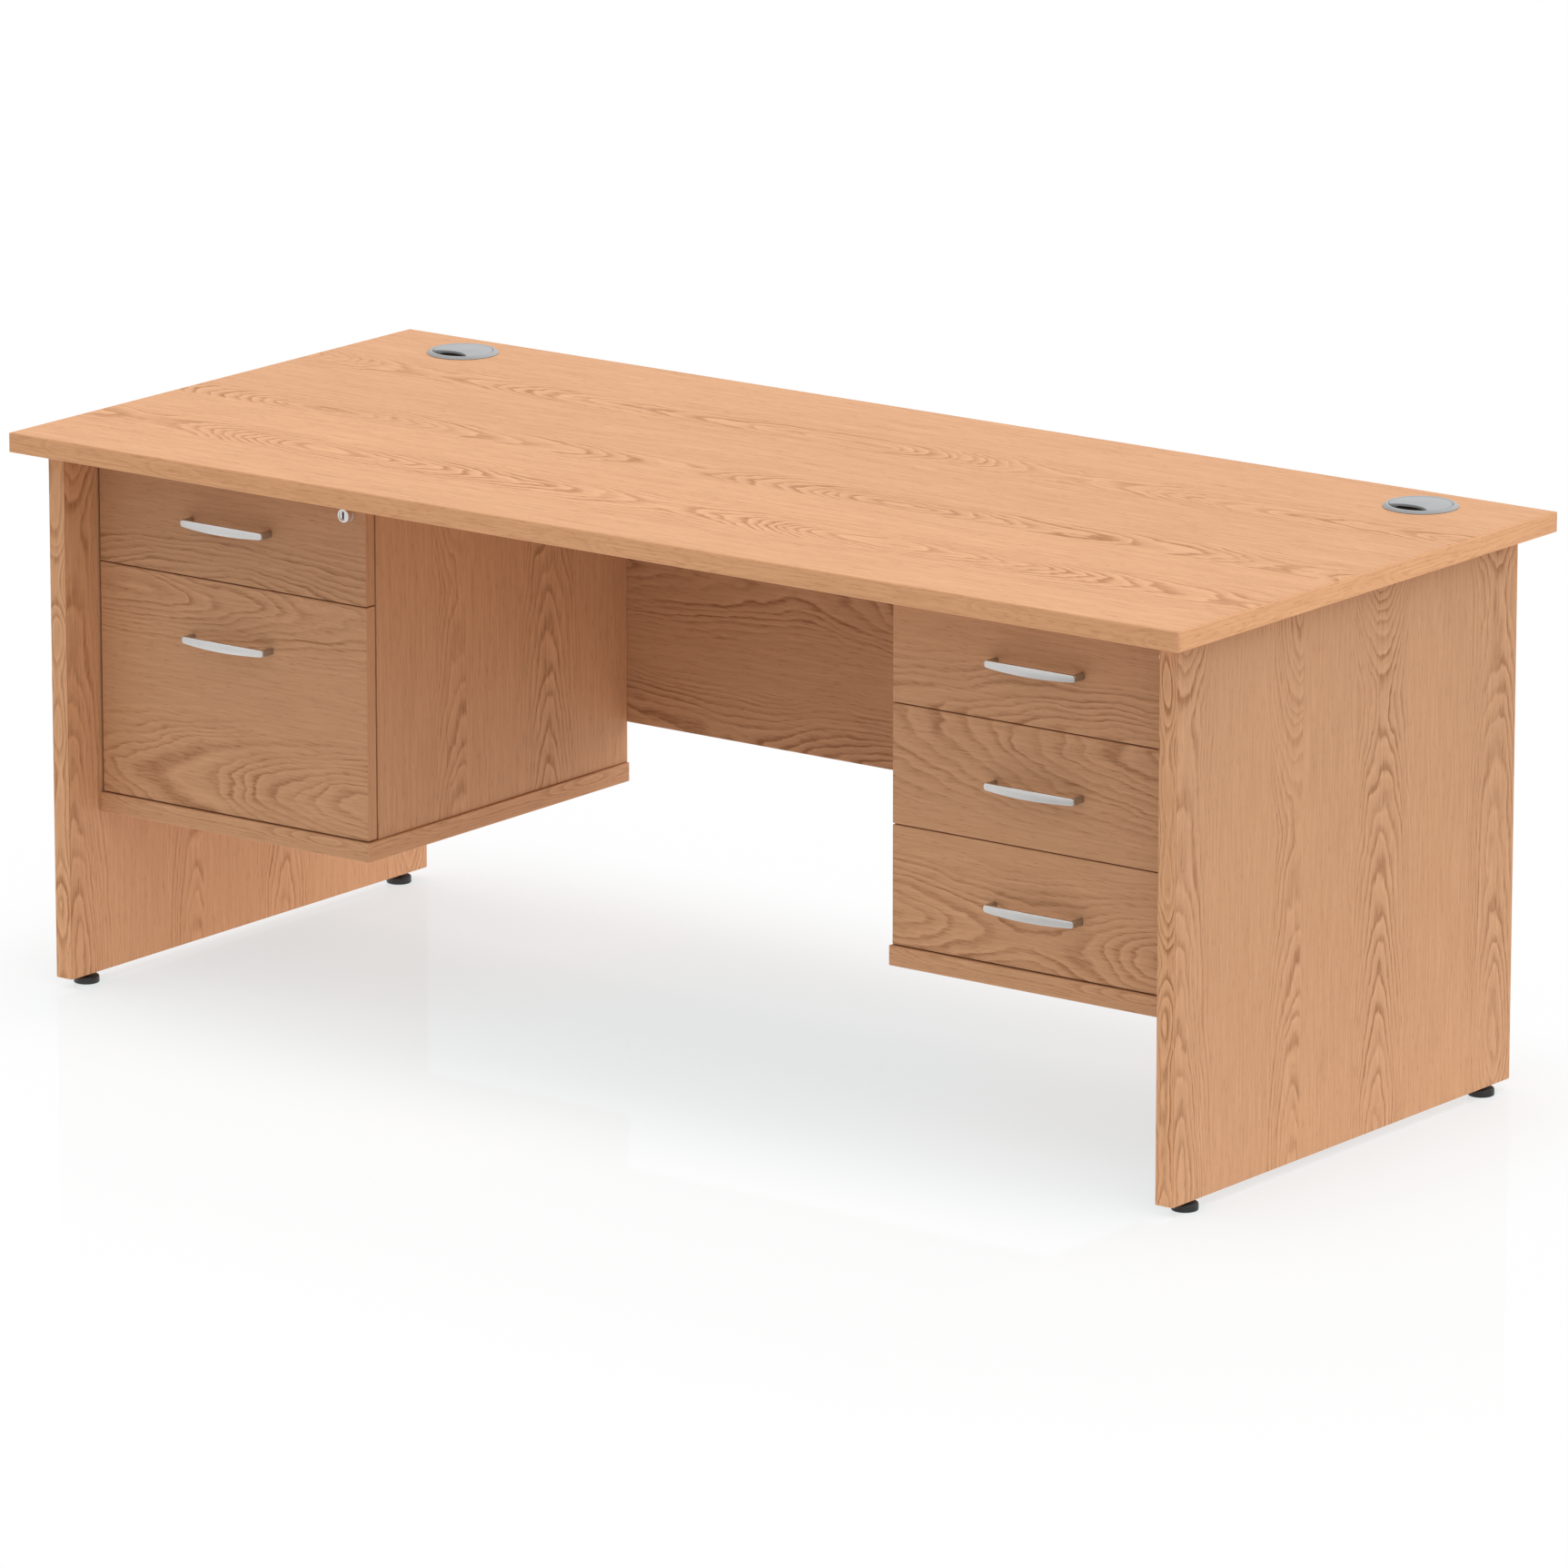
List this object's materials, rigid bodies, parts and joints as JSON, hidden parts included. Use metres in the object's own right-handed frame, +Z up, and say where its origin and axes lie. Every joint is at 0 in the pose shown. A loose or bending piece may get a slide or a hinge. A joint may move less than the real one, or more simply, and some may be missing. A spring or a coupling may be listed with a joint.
{
  "type": "office desk",
  "caption": "Rectangular oak-effect office desk on panel ends, with a modesty panel, hanging drawer pedestals on both sides, bow handles, locks and capped cable ports",
  "frame": {"origin": "on the floor, under the middle of the top", "axes": "+X along the desk to the right of a person sitting at it, +Y from that person to the back, +Z up"},
  "size_m": [1.8, 0.8, 0.7295],
  "materials": {
    "oak_board": "oak-effect melamine face, satin",
    "oak_edging": "oak-effect edging strip, satin",
    "tray_steel": "grey powder coat",
    "runner_steel": "bright zinc plate",
    "handle_silver": "satin silver",
    "lock_chrome": "bright nickel",
    "port_plastic": "moulded silver-grey",
    "foot_plastic": "moulded black on a steel stud",
    "insert_steel": "zinc plate"
  },
  "bodies": {
    "desk": {"desktop_board": "oak_board", "desktop_edging": "oak_edging", "left_end_panel": "oak_board", "right_end_panel": "oak_board", "end_panel_edging": "oak_edging", "modesty_panel": "oak_board", "foot_inserts": "insert_steel", "left_cable_port_liner": "port_plastic", "left_runner_channels": "runner_steel", "left_pedestal_base": "oak_board", "left_pedestal_inner_side": "oak_board", "left_pedestal_outer_side": "oak_board", "left_pedestal_back": "oak_board", "left_pedestal_rails": "oak_board", "right_cable_port_liner": "port_plastic", "right_runner_channels": "runner_steel", "right_pedestal_base": "oak_board", "right_pedestal_inner_side": "oak_board", "right_pedestal_outer_side": "oak_board", "right_pedestal_back": "oak_board", "right_pedestal_rails": "oak_board"},
    "left_top_drawer": {"left_top_front": "oak_board", "left_top_tray": "tray_steel", "left_top_handle": "handle_silver", "left_top_runner_slides": "runner_steel", "left_lock_barrel": "lock_chrome"},
    "left_top_runner": {"left_top_runner_middles": "runner_steel"},
    "left_filing_drawer": {"left_filing_front": "oak_board", "left_filing_tray": "tray_steel", "left_filing_handle": "handle_silver", "left_filing_runner_slides": "runner_steel", "left_filing_file_rails": "runner_steel"},
    "left_filing_runner": {"left_filing_runner_middles": "runner_steel"},
    "right_top_drawer": {"right_top_front": "oak_board", "right_top_tray": "tray_steel", "right_top_handle": "handle_silver", "right_top_runner_slides": "runner_steel", "right_lock_barrel": "lock_chrome"},
    "right_top_runner": {"right_top_runner_middles": "runner_steel"},
    "right_middle_drawer": {"right_middle_front": "oak_board", "right_middle_tray": "tray_steel", "right_middle_handle": "handle_silver", "right_middle_runner_slides": "runner_steel"},
    "right_middle_runner": {"right_middle_runner_middles": "runner_steel"},
    "right_bottom_drawer": {"right_bottom_front": "oak_board", "right_bottom_tray": "tray_steel", "right_bottom_handle": "handle_silver", "right_bottom_runner_slides": "runner_steel"},
    "right_bottom_runner": {"right_bottom_runner_middles": "runner_steel"},
    "left_lock": {"left_lock_plug": "lock_chrome", "left_lock_cam": "runner_steel"},
    "right_lock": {"right_lock_plug": "lock_chrome", "right_lock_cam": "runner_steel"},
    "left_cable_cap": {"left_cable_port_cap": "port_plastic"},
    "right_cable_cap": {"right_cable_port_cap": "port_plastic"},
    "front_left_foot_leveller": {"front_left_foot": "foot_plastic"},
    "front_right_foot_leveller": {"front_right_foot": "foot_plastic"},
    "back_left_foot_leveller": {"back_left_foot": "foot_plastic"},
    "back_right_foot_leveller": {"back_right_foot": "foot_plastic"}
  },
  "joints": [
    {"name": "left_top_drawer_slide", "type": "slide", "parent": "desk", "child": "left_top_drawer", "axis": [0, -1, 0], "range_m": [0, 0.42]},
    {"name": "left_top_runner_slide", "type": "slide", "parent": "desk", "child": "left_top_runner", "axis": [0, -1, 0], "range_m": [0, 0.21]},
    {"name": "left_filing_drawer_slide", "type": "slide", "parent": "desk", "child": "left_filing_drawer", "axis": [0, -1, 0], "range_m": [0, 0.42]},
    {"name": "left_filing_runner_slide", "type": "slide", "parent": "desk", "child": "left_filing_runner", "axis": [0, -1, 0], "range_m": [0, 0.21]},
    {"name": "right_top_drawer_slide", "type": "slide", "parent": "desk", "child": "right_top_drawer", "axis": [0, -1, 0], "range_m": [0, 0.42]},
    {"name": "right_top_runner_slide", "type": "slide", "parent": "desk", "child": "right_top_runner", "axis": [0, -1, 0], "range_m": [0, 0.21]},
    {"name": "right_middle_drawer_slide", "type": "slide", "parent": "desk", "child": "right_middle_drawer", "axis": [0, -1, 0], "range_m": [0, 0.42]},
    {"name": "right_middle_runner_slide", "type": "slide", "parent": "desk", "child": "right_middle_runner", "axis": [0, -1, 0], "range_m": [0, 0.21]},
    {"name": "right_bottom_drawer_slide", "type": "slide", "parent": "desk", "child": "right_bottom_drawer", "axis": [0, -1, 0], "range_m": [0, 0.42]},
    {"name": "right_bottom_runner_slide", "type": "slide", "parent": "desk", "child": "right_bottom_runner", "axis": [0, -1, 0], "range_m": [0, 0.21]},
    {"name": "left_lock_turn", "type": "hinge", "parent": "left_top_drawer", "child": "left_lock", "pos_m": [-0.435, -0.295, 0.6655], "axis": [0, 1, 0], "range_deg": [0, 90]},
    {"name": "right_lock_turn", "type": "hinge", "parent": "right_top_drawer", "child": "right_lock", "pos_m": [0.815, -0.295, 0.6655], "axis": [0, 1, 0], "range_deg": [0, 90]},
    {"name": "left_cable_cap_turn", "type": "hinge", "parent": "desk", "child": "left_cable_cap", "pos_m": [-0.75, 0.325, 0.728], "axis": [0, 0, 1], "continuous": true},
    {"name": "right_cable_cap_turn", "type": "hinge", "parent": "desk", "child": "right_cable_cap", "pos_m": [0.75, 0.325, 0.728], "axis": [0, 0, 1], "continuous": true},
    {"name": "front_left_foot_screw", "type": "slide", "parent": "desk", "child": "front_left_foot_leveller", "axis": [0, 0, -1], "range_m": [0, 0.015]},
    {"name": "front_right_foot_screw", "type": "slide", "parent": "desk", "child": "front_right_foot_leveller", "axis": [0, 0, -1], "range_m": [0, 0.015]},
    {"name": "back_left_foot_screw", "type": "slide", "parent": "desk", "child": "back_left_foot_leveller", "axis": [0, 0, -1], "range_m": [0, 0.015]},
    {"name": "back_right_foot_screw", "type": "slide", "parent": "desk", "child": "back_right_foot_leveller", "axis": [0, 0, -1], "range_m": [0, 0.015]}
  ],
  "couplings": [
    {"joint": "left_top_runner_slide", "follows": "left_top_drawer_slide", "ratio": 0.5},
    {"joint": "left_filing_runner_slide", "follows": "left_filing_drawer_slide", "ratio": 0.5},
    {"joint": "right_top_runner_slide", "follows": "right_top_drawer_slide", "ratio": 0.5},
    {"joint": "right_middle_runner_slide", "follows": "right_middle_drawer_slide", "ratio": 0.5},
    {"joint": "right_bottom_runner_slide", "follows": "right_bottom_drawer_slide", "ratio": 0.5}
  ]
}
